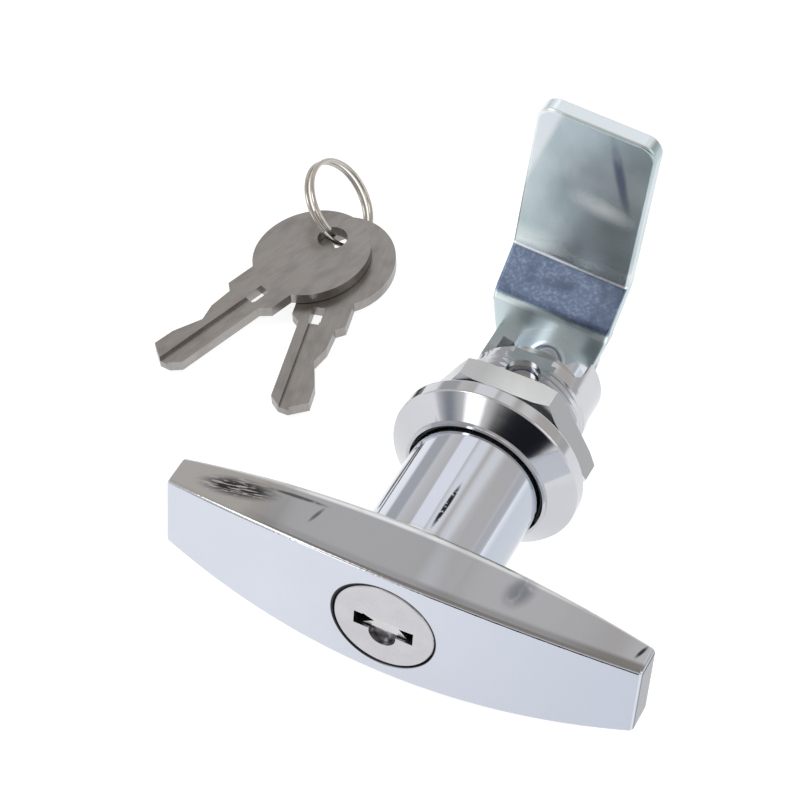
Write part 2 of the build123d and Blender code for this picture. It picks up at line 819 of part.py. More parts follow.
def hole_on_ring(height):
    """Where the left side of the ring passes a height above the floor."""
    below = (ring_centre_z - floor_z - height) / sin(lean)
    left = sqrt(ring_radius**2 - below**2)
    back = -below * cos(lean)
    return Vector(ring_x, ring_y, 0) - ring_width_dir * left + ring_back_dir * back


# Both keys lie in parallel planes that fall towards their tips
heading_1 = Vector(cos(radians(key_1_angle)), sin(radians(key_1_angle)), 0)
heading_2 = Vector(cos(radians(key_2_angle)), sin(radians(key_2_angle)), 0)
shared = heading_1.dot(heading_2)
across_2 = (heading_1 - heading_2 * shared).normalized()
side_slope = (key_1_slope - key_2_slope * shared) / sqrt(1 - shared**2)
fall = heading_2 * key_2_slope + across_2 * side_slope
key_normal = (fall + Vector(0, 0, 1)).normalized()
hole_2 = hole_on_ring(key_lift + key_thickness * 0.33)
hole_2 = Vector(hole_2.X, hole_2.Y, floor_z + key_lift)
hole_1 = hole_on_ring(key_lift + key_thickness * 1.5 + key_stack_gap)
level_1 = floor_z + key_lift + (key_thickness + key_stack_gap) / key_normal.Z
hole_1 = Vector(hole_1.X, hole_1.Y, level_1 - fall.dot(hole_1 - hole_2))


def make_key(hole, heading, cut_side):
    """One key, from its lower face up. cut_side is +1 or -1: the side of the blade with the cuts."""
    along = heading - key_normal * heading.dot(key_normal)
    plane = Plane(origin=hole, x_dir=tuple(along.normalized()), z_dir=tuple(key_normal))
    plane = plane.shift_origin(plane.from_local_coords((key_hole_offset, 0, 0)))
    half = key_blade_width / 2
    size = key_cut_scale
    with BuildPart() as key:
        with BuildSketch(plane):
            Ellipse(key_bow_length / 2, key_bow_width / 2)
            with BuildLine():
                Polyline(
                    (0, -cut_side * key_neck_width / 2),
                    (key_shoulder - 1.2 * size, -cut_side * key_neck_width / 2),
                    (key_shoulder + 0.6 * size, -cut_side * half),
                    (key_length - 2.4 * size, -cut_side * half),
                    (key_length - 0.5 * size, -cut_side * half * 0.55),
                    (key_length, 0),
                    (key_length - 2.0 * size, cut_side * half),
                    (key_length - 6.5 * size, cut_side * (half - 0.1 * size)),
                    (key_length - 10.0 * size, cut_side * (half - 1.1 * size)),
                    (key_length - 12.7 * size, cut_side * (half - 1.9 * size)),
                    (key_length - 16.4 * size, cut_side * (half - 0.4 * size)),
                    (key_shoulder + 1.4 * size, cut_side * half),
                    (key_shoulder + 0.2 * size, cut_side * key_neck_width / 2),
                    (0, cut_side * key_neck_width / 2),
                    close=True,
                )
            make_face()
            with Locations((-key_hole_offset, 0)):
                Circle(key_hole_radius, mode=Mode.SUBTRACT)
        extrude(amount=key_thickness)
        window_x = key_shoulder - window_length / 2
        groove_y = cut_side * groove_middle
        with BuildSketch(plane):
            with Locations((window_x, groove_y)):
                Rectangle(window_length, window_width)
        extrude(amount=key_thickness, mode=Mode.SUBTRACT)
        groove_length = key_length - window_x
        with BuildSketch(plane.offset(key_thickness - groove_depth)):
            with Locations((window_x + groove_length / 2, groove_y)):
                Rectangle(groove_length, groove_width)
        extrude(amount=groove_depth, mode=Mode.SUBTRACT)
    return key.part


finish(make_key(hole_1, heading_1, -1), "key_1")
finish(make_key(hole_2, heading_2, 1), "key_2")
for name, hole in (("key_1", hole_1), ("key_2", hole_2)):
    print(f"{name}: hole at {hole.X:.2f}, {hole.Y:.2f}, {hole.Z:.2f}")
print(f"key plane normal: {key_normal.X:.4f}, {key_normal.Y:.4f}, {key_normal.Z:.4f}")
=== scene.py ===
from math import cos, radians, sin

import bmesh
import bpy
from mathutils import Matrix, Vector


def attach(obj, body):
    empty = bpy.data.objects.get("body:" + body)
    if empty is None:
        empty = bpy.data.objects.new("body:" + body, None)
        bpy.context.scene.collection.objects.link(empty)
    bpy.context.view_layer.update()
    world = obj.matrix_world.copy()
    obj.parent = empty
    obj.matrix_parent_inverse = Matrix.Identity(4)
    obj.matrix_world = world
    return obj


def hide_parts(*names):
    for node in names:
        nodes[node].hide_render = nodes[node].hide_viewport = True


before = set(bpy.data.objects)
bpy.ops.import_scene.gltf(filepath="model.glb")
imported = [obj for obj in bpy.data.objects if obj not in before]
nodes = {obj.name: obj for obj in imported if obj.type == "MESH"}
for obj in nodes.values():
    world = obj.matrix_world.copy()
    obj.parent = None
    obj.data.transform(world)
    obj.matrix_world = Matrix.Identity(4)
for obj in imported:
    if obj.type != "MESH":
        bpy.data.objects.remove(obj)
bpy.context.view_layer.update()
mm = 0.001

# The view: the lock lies with its handle towards the camera, seen from above and a
# little from the right, through a long lens.
camera_data = bpy.data.cameras.new("camera")
camera_data.lens = 144.74
camera_data.sensor_width = 36.0
camera_data.clip_start = 0.01
camera_data.clip_end = 20.0
camera = bpy.data.objects.new("camera", camera_data)
bpy.context.scene.collection.objects.link(camera)
view_right = Vector((0.89902, 0.43474, 0.05264))
view_up = Vector((-0.35249, 0.64708, 0.67605))
view_back = Vector((0.25984, -0.62634, 0.73497))
camera.matrix_world = Matrix.Translation(Vector((105.34, -289.59, 344.04)) * mm) @ Matrix(
    (view_right, view_up, view_back)
).transposed().to_4x4()
bpy.context.scene.camera = camera

# The table: a plain white surface that the loose keys and the collar's lowest edge
# touch. It shows white to the camera and to the plating, and keeps soft shadows.
table_level = -14.5 * mm
table_gap = 0.02 * mm
table_half = 3.0
floor_bmesh = bmesh.new()
bmesh.ops.create_grid(floor_bmesh, x_segments=1, y_segments=1, size=table_half)
bmesh.ops.translate(floor_bmesh, verts=floor_bmesh.verts, vec=(0, 0, table_level - table_gap))
floor_mesh = bpy.data.meshes.new("floor")
floor_bmesh.to_mesh(floor_mesh)
floor_bmesh.free()
floor = bpy.data.objects.new("floor", floor_mesh)
bpy.context.scene.collection.objects.link(floor)
floor_paint = bpy.data.materials.new("floor_paint")
floor_paint.use_nodes = True
nodes_of = floor_paint.node_tree.nodes
links_of = floor_paint.node_tree.links
floor_diffuse = nodes_of["Principled BSDF"]
floor_diffuse.inputs["Base Color"].default_value = (0.55, 0.55, 0.55, 1)
floor_diffuse.inputs["Roughness"].default_value = 0.9
floor_diffuse.inputs["Specular IOR Level"].default_value = 0.0
floor_glow = nodes_of.new("ShaderNodeEmission")
floor_glow.inputs["Strength"].default_value = 0.8
floor_both = nodes_of.new("ShaderNodeAddShader")
floor_seen = nodes_of.new("ShaderNodeMixShader")
floor_rays = nodes_of.new("ShaderNodeLightPath")
floor_any = nodes_of.new("ShaderNodeMath")
floor_any.operation = "MAXIMUM"
links_of.new(floor_rays.outputs["Is Camera Ray"], floor_any.inputs[0])
links_of.new(floor_rays.outputs["Is Glossy Ray"], floor_any.inputs[1])
links_of.new(floor_diffuse.outputs["BSDF"], floor_both.inputs[0])
links_of.new(floor_glow.outputs["Emission"], floor_both.inputs[1])
links_of.new(floor_any.outputs[0], floor_seen.inputs["Fac"])
links_of.new(floor_diffuse.outputs["BSDF"], floor_seen.inputs[1])
links_of.new(floor_both.outputs["Shader"], floor_seen.inputs[2])
links_of.new(floor_seen.outputs["Shader"], nodes_of["Material Output"].inputs["Surface"])
floor_mesh.materials.append(floor_paint)

# The studio: even light from all sides, white where the camera and the plating look
# level, and greyer high up, where a real studio's ceiling is darker.
bpy.context.scene.view_settings.view_transform = "Standard"
studio = bpy.data.worlds.new("studio")
bpy.context.scene.world = studio
studio.use_nodes = True
sky = studio.node_tree.nodes
sky_links = studio.node_tree.links
sky_light = sky["Background"]
sky_light.inputs["Color"].default_value = (1, 1, 1, 1)
sky_light.inputs["Strength"].default_value = 0.55
sky_seen = sky.new("ShaderNodeBackground")
sky_seen.inputs["Strength"].default_value = 1.0
sky_mirrored = sky.new("ShaderNodeBackground")
sky_mirrored.inputs["Strength"].default_value = 1.0
sky_rays = sky.new("ShaderNodeLightPath")
sky_where = sky.new("ShaderNodeTexCoord")
sky_split = sky.new("ShaderNodeSeparateXYZ")
sky_ramp = sky.new("ShaderNodeValToRGB")
sky_links.new(sky_where.outputs["Generated"], sky_split.inputs["Vector"])
sky_links.new(sky_split.outputs["Z"], sky_ramp.inputs["Fac"])
sky_ramp.color_ramp.elements[0].position = 0.0
sky_ramp.color_ramp.elements[0].color = (1, 1, 1, 1)
sky_ramp.color_ramp.elements[1].position = 0.75
sky_ramp.color_ramp.elements[1].color = (0.66, 0.62, 0.57, 1)
sky_links.new(sky_ramp.outputs["Color"], sky_mirrored.inputs["Color"])
sky_glossy = sky.new("ShaderNodeMixShader")
sky_links.new(sky_rays.outputs["Is Glossy Ray"], sky_glossy.inputs["Fac"])
sky_links.new(sky_light.outputs["Background"], sky_glossy.inputs[1])
sky_links.new(sky_mirrored.outputs["Background"], sky_glossy.inputs[2])
sky_camera = sky.new("ShaderNodeMixShader")
sky_through = sky.new("ShaderNodeMath")
sky_through.operation = "MAXIMUM"
sky_links.new(sky_rays.outputs["Is Camera Ray"], sky_through.inputs[0])
sky_links.new(sky_rays.outputs["Is Transmission Ray"], sky_through.inputs[1])
sky_links.new(sky_through.outputs[0], sky_camera.inputs["Fac"])
sky_links.new(sky_glossy.outputs["Shader"], sky_camera.inputs[1])
sky_links.new(sky_seen.outputs["Background"], sky_camera.inputs[2])
sky_links.new(sky_camera.outputs["Shader"], sky["World Output"].inputs["Surface"])


def softbox(name, place, aim, size, power):
    lamp = bpy.data.lights.new(name, "AREA")
    lamp.shape = "RECTANGLE"
    lamp.size = size[0]
    lamp.size_y = size[1]
    lamp.energy = power
    box = bpy.data.objects.new(name, lamp)
    bpy.context.scene.collection.objects.link(box)
    box.location = place
    box.rotation_euler = (Vector(aim) - Vector(place)).to_track_quat("-Z", "Y").to_euler()


softbox("softbox_left", (-0.55, -0.45, 0.75), (0, -0.01, 0), (0.45, 0.45), 2.0)
softbox("softbox_right", (0.8, 0.2, 0.6), (0, 0, 0), (0.4, 0.6), 1.0)


def studio_card(name, place, size, shade, soft):
    """A panel around the table that only bright metal mirrors: a flag or a reflector,
    whose edge fades over a part of its width."""
    card = bmesh.new()
    card.loops.layers.uv.new("UVMap")
    bmesh.ops.create_grid(card, x_segments=1, y_segments=1, size=0.5, calc_uvs=True)
    bmesh.ops.scale(card, verts=card.verts, vec=(size[0], size[1], 1))
    to_table = (-Vector(place)).to_track_quat("Z", "Y").to_matrix()
    bmesh.ops.rotate(card, verts=card.verts, matrix=to_table)
    bmesh.ops.translate(card, verts=card.verts, vec=place)
    mesh = bpy.data.meshes.new(name)
    card.to_mesh(mesh)
    card.free()
    paper = bpy.data.materials.new(name)
    paper.use_nodes = True
    tree = paper.node_tree
    tree.nodes.remove(tree.nodes["Principled BSDF"])
    glow = tree.nodes.new("ShaderNodeEmission")
    glow.inputs["Color"].default_value = (*shade, 1)
    clear = tree.nodes.new("ShaderNodeBsdfTransparent")
    fade = tree.nodes.new("ShaderNodeMixShader")
    place_on_card = tree.nodes.new("ShaderNodeTexCoord")
    sides = tree.nodes.new("ShaderNodeSeparateXYZ")
    tree.links.new(place_on_card.outputs["UV"], sides.inputs["Vector"])
    across_fades = []
    for side in ("X", "Y"):
        from_middle = tree.nodes.new("ShaderNodeMath")
        from_middle.operation = "SUBTRACT"
        from_middle.inputs[1].default_value = 0.5
        length = tree.nodes.new("ShaderNodeMath")
        length.operation = "ABSOLUTE"
        near_edge = tree.nodes.new("ShaderNodeMapRange")
        near_edge.interpolation_type = "SMOOTHSTEP"
        near_edge.inputs["From Min"].default_value = 0.5
        near_edge.inputs["From Max"].default_value = 0.5 - soft
        tree.links.new(sides.outputs[side], from_middle.inputs[0])
        tree.links.new(from_middle.outputs[0], length.inputs[0])
        tree.links.new(length.outputs[0], near_edge.inputs["Value"])
        across_fades.append(near_edge)
    both = tree.nodes.new("ShaderNodeMath")
    both.operation = "MULTIPLY"
    tree.links.new(across_fades[0].outputs["Result"], both.inputs[0])
    tree.links.new(across_fades[1].outputs["Result"], both.inputs[1])
    tree.links.new(both.outputs[0], fade.inputs["Fac"])
    tree.links.new(clear.outputs["BSDF"], fade.inputs[1])
    tree.links.new(glow.outputs["Emission"], fade.inputs[2])
    tree.links.new(fade.outputs["Shader"], tree.nodes["Material Output"].inputs["Surface"])
    mesh.materials.append(paper)
    panel = bpy.data.objects.new(name, mesh)
    bpy.context.scene.collection.objects.link(panel)
    panel.visible_camera = False
    panel.visible_diffuse = False
    panel.visible_shadow = False
    panel.visible_transmission = False


for name, place, size, shade, soft in (
    ("card_front_dark", (0.2, -0.94, 0.2), (0.96, 0.5), (0.012, 0.014, 0.02), 0.19),
    ("card_front_white", (-0.4, -0.86, 0.3), (0.3, 0.34), (2.1, 2.1, 2.1), 0.2),
    ("card_front_left", (-0.66, -0.74, 0.1), (0.5, 0.5), (0.3, 0.33, 0.38), 0.5),
    ("card_back_white", (-0.35, 0.63, 0.7), (0.3, 0.5), (1.1, 1.1, 1.12), 0.12),
    ("card_back_warm", (0.33, 0.63, 0.71), (0.36, 0.4), (0.95, 0.93, 0.91), 0.4),
    ("card_back_top", (-0.03, 0.63, 0.777), (0.4, 0.4), (1.0, 1.0, 1.0), 0.35),
    ("card_right_low", (0.77, 0.63, 0.12), (0.3, 0.36), (0.63, 0.62, 0.61), 0.35),
    ("card_left_grey", (-0.75, 0.63, 0.2), (0.42, 0.42), (0.56, 0.56, 0.56), 0.2),
    ("card_right_grey", (0.62, 0.63, 0.42), (0.5, 0.5), (0.66, 0.62, 0.58), 0.2),
):
    studio_card(name, place, size, shade, soft)

# Housing: collar and threaded tail in one die casting, chrome plated all over. The
# plating is mirror bright, over a surface that waves very slightly.


def plated_metal(name, colour, roughness, wave_size, wave_depth):
    metal = bpy.data.materials.new(name)
    metal.use_nodes = True
    tree = metal.node_tree
    shader = tree.nodes["Principled BSDF"]
    shader.inputs["Metallic"].default_value = 1.0
    place = tree.nodes.new("ShaderNodeTexCoord")
    shade_noise = tree.nodes.new("ShaderNodeTexNoise")
    shade_noise.inputs["Scale"].default_value = 1 / (6 * wave_size)
    shade_noise.inputs["Detail"].default_value = 3
    shade = tree.nodes.new("ShaderNodeValToRGB")
    shade.color_ramp.elements[0].position = 0.3
    shade.color_ramp.elements[0].color = (*[c * 0.93 for c in colour], 1)
    shade.color_ramp.elements[1].position = 0.7
    shade.color_ramp.elements[1].color = (*colour, 1)
    gloss = tree.nodes.new("ShaderNodeMapRange")
    gloss.inputs["To Min"].default_value = roughness * 0.75
    gloss.inputs["To Max"].default_value = roughness * 1.35
    wave_noise = tree.nodes.new("ShaderNodeTexNoise")
    wave_noise.inputs["Scale"].default_value = 1 / wave_size
    wave_noise.inputs["Detail"].default_value = 2
    bump = tree.nodes.new("ShaderNodeBump")
    bump.inputs["Distance"].default_value = wave_depth
    bump.inputs["Strength"].default_value = 1.0
    tree.links.new(place.outputs["Object"], shade_noise.inputs["Vector"])
    tree.links.new(place.outputs["Object"], wave_noise.inputs["Vector"])
    tree.links.new(shade_noise.outputs["Fac"], shade.inputs["Fac"])
    tree.links.new(shade.outputs["Color"], shader.inputs["Base Color"])
    tree.links.new(shade_noise.outputs["Fac"], gloss.inputs["Value"])
    tree.links.new(gloss.outputs["Result"], shader.inputs["Roughness"])
    tree.links.new(wave_noise.outputs["Fac"], bump.inputs["Height"])
    tree.links.new(bump.outputs["Normal"], shader.inputs["Normal"])
    return metal


def dress(node, metal):
    for slot in nodes[node].material_slots:
        slot.material = metal


collar_chrome = plated_metal("collar_chrome", (0.55, 0.56, 0.59), 0.09, 2.2 * mm, 0.004 * mm)
dress("housing", collar_chrome)

# Hexagon nut: turned brass, chrome plated, with a slightly duller face than the collar.
# It is screwed on the tail from behind. Its flats are not equally bright: the right flat is
# painted in shade, and the upper flat carries a painted highlight with painted shade over
# its left part. Both flats are rougher than the rest.
nut_chrome = plated_metal("nut_chrome", (0.74, 0.76, 0.78), 0.24, 1.2 * mm, 0.01 * mm)


def along(metal, side, clean, dirty):
    """A value from 0 at one X, Y or Z to 1 at another, in mm."""
    tree = metal.node_tree
    place = tree.nodes.new("ShaderNodeTexCoord")
    split = tree.nodes.new("ShaderNodeSeparateXYZ")
    value = tree.nodes.new("ShaderNodeMapRange")
    value.inputs["From Min"].default_value = clean * mm
    value.inputs["From Max"].default_value = dirty * mm
    tree.links.new(place.outputs["Object"], split.inputs["Vector"])
    tree.links.new(split.outputs[side], value.inputs["Value"])
    return value.outputs["Result"]


def joined(metal, operation, first, second):
    tree = metal.node_tree
    node = tree.nodes.new("ShaderNodeMath")
    node.operation = operation
    tree.links.new(first, node.inputs[0])
    tree.links.new(second, node.inputs[1])
    return node.outputs[0]


def stain(metal, where, shade, gloss=None):
    """Lays another colour over a metal, and another roughness, where a value is 1."""
    tree = metal.node_tree
    shader = tree.nodes["Principled BSDF"]
    layer = tree.nodes.new("ShaderNodeMix")
    layer.data_type = "RGBA"
    colour = shader.inputs["Base Color"].links[0].from_socket
    tree.links.new(where, layer.inputs["Factor"])
    tree.links.new(colour, layer.inputs["A"])
    layer.inputs["B"].default_value = (*shade, 1)
    tree.links.new(layer.outputs["Result"], shader.inputs["Base Color"])
    if gloss is not None:
        dulled = tree.nodes.new("ShaderNodeMix")
        tree.links.new(where, dulled.inputs["Factor"])
        tree.links.new(shader.inputs["Roughness"].links[0].from_socket, dulled.inputs["A"])
        dulled.inputs["B"].default_value = gloss
        tree.links.new(dulled.outputs["Result"], shader.inputs["Roughness"])


def facing(metal, direction, clean, dirty):
    """A value from 0 to 1 by how squarely a face looks in a direction."""
    tree = metal.node_tree
    place = tree.nodes.new("ShaderNodeTexCoord")
    turned = tree.nodes.new("ShaderNodeVectorMath")
    turned.operation = "DOT_PRODUCT"
    turned.inputs[1].default_value = Vector(direction).normalized()
    value = tree.nodes.new("ShaderNodeMapRange")
    value.inputs["From Min"].default_value = clean
    value.inputs["From Max"].default_value = dirty
    tree.links.new(place.outputs["Normal"], turned.inputs[0])
    tree.links.new(turned.outputs["Value"], value.inputs["Value"])
    return value.outputs["Result"]


# Painted shade on the right flat, and a painted highlight on the upper flat
right_flat = facing(nut_chrome, (0.966, 0, 0.259), 0.93, 0.97)
stain(nut_chrome, right_flat, (0.32, 0.325, 0.33), 0.4)
upper_nut_flat = facing(nut_chrome, (0.259, 0, 0.966), 0.93, 0.97)
stain(nut_chrome, upper_nut_flat, (1.0, 1.0, 1.0), 0.4)
# Painted shade over the left part of the upper flat
painted_shade_corner = joined(nut_chrome, "MULTIPLY", upper_nut_flat, along(nut_chrome, "X", 2, -4))
stain(nut_chrome, painted_shade_corner, (0.54, 0.55, 0.57))
dress("hex_nut", nut_chrome)

# Gasket: a flat rubber ring pressed into the back of the collar, so that it seals
# against the panel.


def rubber(name, shade):
    soft = bpy.data.materials.new(name)
    soft.use_nodes = True
    tree = soft.node_tree
    shader = tree.nodes["Principled BSDF"]
    place = tree.nodes.new("ShaderNodeTexCoord")
    grain = tree.nodes.new("ShaderNodeTexNoise")
    grain.inputs["Scale"].default_value = 1 / (0.25 * mm)
    tone = tree.nodes.new("ShaderNodeMapRange")
    tone.inputs["To Min"].default_value = 0.45
    tone.inputs["To Max"].default_value = 0.65
    colour = tree.nodes.new("ShaderNodeValToRGB")
    colour.color_ramp.elements[0].color = (shade * 0.7, shade * 0.7, shade * 0.72, 1)
    colour.color_ramp.elements[1].color = (shade * 1.3, shade * 1.3, shade * 1.3, 1)
    bump = tree.nodes.new("ShaderNodeBump")
    bump.inputs["Distance"].default_value = 0.01 * mm
    tree.links.new(place.outputs["Object"], grain.inputs["Vector"])
    tree.links.new(grain.outputs["Fac"], tone.inputs["Value"])
    tree.links.new(grain.outputs["Fac"], colour.inputs["Fac"])
    tree.links.new(colour.outputs["Color"], shader.inputs["Base Color"])
    tree.links.new(tone.outputs["Result"], shader.inputs["Roughness"])
    tree.links.new(grain.outputs["Fac"], bump.inputs["Height"])
    tree.links.new(bump.outputs["Normal"], shader.inputs["Normal"])
    return soft


gasket_black = rubber("gasket_black", 0.035)
ring_facets = 96


def spun_ring(name, outline):
    """A ring about the shaft's axis, from its section as (radius, y) points in mm."""
    ring = bmesh.new()
    corners = [ring.verts.new((r * mm, y * mm, 0)) for r, y in outline]
    pairs = zip(corners, corners[1:] + corners[:1])
    loop = [ring.edges.new(pair) for pair in pairs]
    bmesh.ops.spin(
        ring,
        geom=corners + loop,
        cent=(0, 0, 0),
        axis=(0, 1, 0),
        dvec=(0, 0, 0),
        angle=radians(360),
        steps=ring_facets,
        use_merge=True,
    )
    bmesh.ops.remove_doubles(ring, verts=ring.verts, dist=1e-7)
    bmesh.ops.recalc_face_normals(ring, faces=ring.faces)
    for face in ring.faces:
        face.smooth = True
    mesh = bpy.data.meshes.new(name)
    ring.to_mesh(mesh)
    ring.free()
    piece = bpy.data.objects.new(name, mesh)
    bpy.context.scene.collection.objects.link(piece)
    return piece


gasket_section = [
    (10.45, -0.85),
    (13.35, -0.85),
    (13.35, -0.1),
    (13.25, 0.0),
    (10.55, 0.0),
    (10.45, -0.1),
]
gasket = spun_ring("rubber_gasket", gasket_section)
gasket.data.materials.append(gasket_black)
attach(gasket, "housing")
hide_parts("panel_gasket")

# T-handle: bar, shaft and square end in one die casting, polished and chrome plated. It
# turns in the housing. The joint round the plug is dark with dirt and painted shade, the
# bar and the shaft's right side carry painted shade and painted highlights, and the top of
# the bar and the shaft carry a few marks of polishing and use.
handle_chrome = plated_metal("handle_chrome", (0.60, 0.63, 0.70), 0.05, 5 * mm, 0.002 * mm)


def from_axis(metal, clean, dirty, centre=(0, 0)):
    """A value from 0 at one distance from a line along Y to 1 at another, in mm."""
    tree = metal.node_tree
    place = tree.nodes.new("ShaderNodeTexCoord")
    moved = tree.nodes.new("ShaderNodeMapping")
    moved.inputs["Location"].default_value = (-centre[0] * mm, 0, -centre[1] * mm)
    moved.inputs["Scale"].default_value = (1, 0, 1)
    distance = tree.nodes.new("ShaderNodeVectorMath")
    distance.operation = "LENGTH"
    value = tree.nodes.new("ShaderNodeMapRange")
    value.inputs["From Min"].default_value = clean * mm
    value.inputs["From Max"].default_value = dirty * mm
    tree.links.new(place.outputs["Object"], moved.inputs["Vector"])
    tree.links.new(moved.outputs["Vector"], distance.inputs[0])
    tree.links.new(distance.outputs["Value"], value.inputs["Value"])
    return value.outputs["Result"]


def spot(metal, centre, size, turn=(0, 0, 0), soft=0.5):
    """A value of 1 inside an ellipsoid, fading to 0 at its rim; sizes in mm. With a
    softness below 0 it is 0 inside instead, and rises to 1 outside the rim."""
    tree = metal.node_tree
    place = tree.nodes.new("ShaderNodeTexCoord")
    moved = tree.nodes.new("ShaderNodeMapping")
    moved.vector_type = "TEXTURE"
    moved.inputs["Location"].default_value = Vector(centre) * mm
    moved.inputs["Rotation"].default_value = [radians(angle) for angle in turn]
    moved.inputs["Scale"].default_value = Vector(size) * mm
    distance = tree.nodes.new("ShaderNodeVectorMath")
    distance.operation = "LENGTH"
    value = tree.nodes.new("ShaderNodeMapRange")
    value.interpolation_type = "SMOOTHSTEP"
    value.inputs["From Min"].default_value = 1.0
    value.inputs["From Max"].default_value = 1.0 - soft
    tree.links.new(place.outputs["Object"], moved.inputs["Vector"])
    tree.links.new(moved.outputs["Vector"], distance.inputs[0])
    tree.links.new(distance.outputs["Value"], value.inputs["Value"])
    return value.outputs["Result"]


def flecks(metal, size, clean, dirty, turn=(0, 0, 0), detail=3):
    """A noise of the given size in mm along each axis, cut to a value from 0 to 1."""
    tree = metal.node_tree
    place = tree.nodes.new("ShaderNodeTexCoord")
    moved = tree.nodes.new("ShaderNodeMapping")
    moved.vector_type = "TEXTURE"
    moved.inputs["Rotation"].default_value = [radians(angle) for angle in turn]
    moved.inputs["Scale"].default_value = Vector(size) * mm
    noise = tree.nodes.new("ShaderNodeTexNoise")
    noise.inputs["Scale"].default_value = 1.0
    noise.inputs["Detail"].default_value = detail
    value = tree.nodes.new("ShaderNodeMapRange")
    value.inputs["From Min"].default_value = clean
    value.inputs["From Max"].default_value = dirty
    tree.links.new(place.outputs["Object"], moved.inputs["Vector"])
    tree.links.new(moved.outputs["Vector"], noise.inputs["Vector"])
    tree.links.new(noise.outputs["Fac"], value.inputs["Value"])
    return value.outputs["Result"]


def all_of(metal, *values):
    result = values[0]
    for value in values[1:]:
        result = joined(metal, "MULTIPLY", result, value)
    return result


# The bar's top and bottom are painted in shade, darker than its front and most of all on
# the left, where they are also a little rougher.
bar_side = joined(
    handle_chrome,
    "MAXIMUM",
    facing(handle_chrome, (0, 0, 1), 0.7, 0.85),
    facing(handle_chrome, (0, 0, -1), 0.7, 0.85),
)
bar_only = along(handle_chrome, "Y", -24.5, -25)
left_end = all_of(handle_chrome, bar_side, bar_only, along(handle_chrome, "X", -19, -22))
stain(handle_chrome, left_end, (0.5, 0.5, 0.505))
painted_shade_right = all_of(
    handle_chrome,
    bar_side,
    bar_only,
    along(handle_chrome, "X", 4, 9),
    along(handle_chrome, "X", 35, 24),
)
stain(handle_chrome, painted_shade_right, (0.4, 0.396, 0.408))
painted_shade_left = all_of(
    handle_chrome,
    bar_side,
    bar_only,
    along(handle_chrome, "X", 8.5, 3),
    along(handle_chrome, "X", -23.5, -18.5),
)
stain(handle_chrome, painted_shade_left, (0.33, 0.33, 0.335), 0.1)
# Painted shade on the bar's end and front and on the shaft's right side, and a painted
# highlight on the bar's back
bar_end = all_of(
    handle_chrome,
    facing(handle_chrome, (1, 0, 0), 0.8, 0.95),
    bar_only,
    along(handle_chrome, "Y", -33, -30.5),
    flecks(handle_chrome, (4, 4, 9), 0, 0.25),
)
stain(handle_chrome, bar_end, (0.02, 0.03, 0.055), 0.12)
bar_front = all_of(
    handle_chrome,
    facing(handle_chrome, (0, -1, 0), 0.8, 0.9),
    along(handle_chrome, "X", -8, 55),
)
stain(handle_chrome, bar_front, (0.42, 0.45, 0.53))
bar_back = all_of(
    handle_chrome,
    facing(handle_chrome, (0, 1, 0), 0.8, 0.9),
    along(handle_chrome, "Y", -23, -24),
)
stain(handle_chrome, bar_back, (0.74, 0.77, 0.82), 0.15)
shaft_right = all_of(
    handle_chrome,
    facing(handle_chrome, (0.985, 0, -0.17), 0.7, 0.77),
    along(handle_chrome, "Y", -25, -24.5),
)
stain(handle_chrome, shaft_right, (0.45, 0.487, 0.55))
# A band of painted shade along the top's bowed front edge, outside a circle centred far
# behind the bar
bow_centre = (0, 117.35, 9)
band_circle = (150.7, 150.7, 400)
front_shade_band = all_of(
    handle_chrome,
    bar_side,
    spot(handle_chrome, bow_centre, band_circle, soft=-0.006),
    along(handle_chrome, "X", -24, -14),
)
stain(handle_chrome, front_shade_band, (0.28, 0.28, 0.29), 0.1)
# Brush marks of the polish on the left, a hooked line beside them, a short line in the
# right rear corner, a painted highlight along the rear edge, a smudge, and a scored line
# along the shaft
brushed = all_of(
    handle_chrome,
    bar_side,
    spot(handle_chrome, (-25.9, -29.0, 8.5), (7.6, 2.3, 4), turn=(0, 0, 4), soft=0.65),
    flecks(handle_chrome, (2.6, 0.3, 1.0), 0.4, 0.47, turn=(0, 0, 4), detail=7),
)
stain(handle_chrome, brushed, (0.045, 0.046, 0.05), 0.2)
hook = all_of(
    handle_chrome,
    bar_side,
    spot(handle_chrome, (-17.2, -27.4, 8.5), (6.0, 0.4, 4), soft=0.6),
    flecks(handle_chrome, (1.2, 0.5, 1.0), 0.25, 0.45),
)
stain(handle_chrome, hook, (0.1, 0.1, 0.105), 0.2)
hook_end = all_of(
    handle_chrome,
    bar_side,
    spot(handle_chrome, (-13.6, -29.4, 9), (0.42, 2.2, 4), turn=(0, 0, -16.7), soft=0.7),
)
stain(handle_chrome, hook_end, (0.13, 0.13, 0.135), 0.2)
corner_mark = all_of(
    handle_chrome,
    bar_side,
    spot(handle_chrome, (34.5, -27.9, 6.8), (0.36, 1.9, 4), turn=(0, 0, -16), soft=0.7),
)
stain(handle_chrome, corner_mark, (0.05, 0.05, 0.053), 0.2)
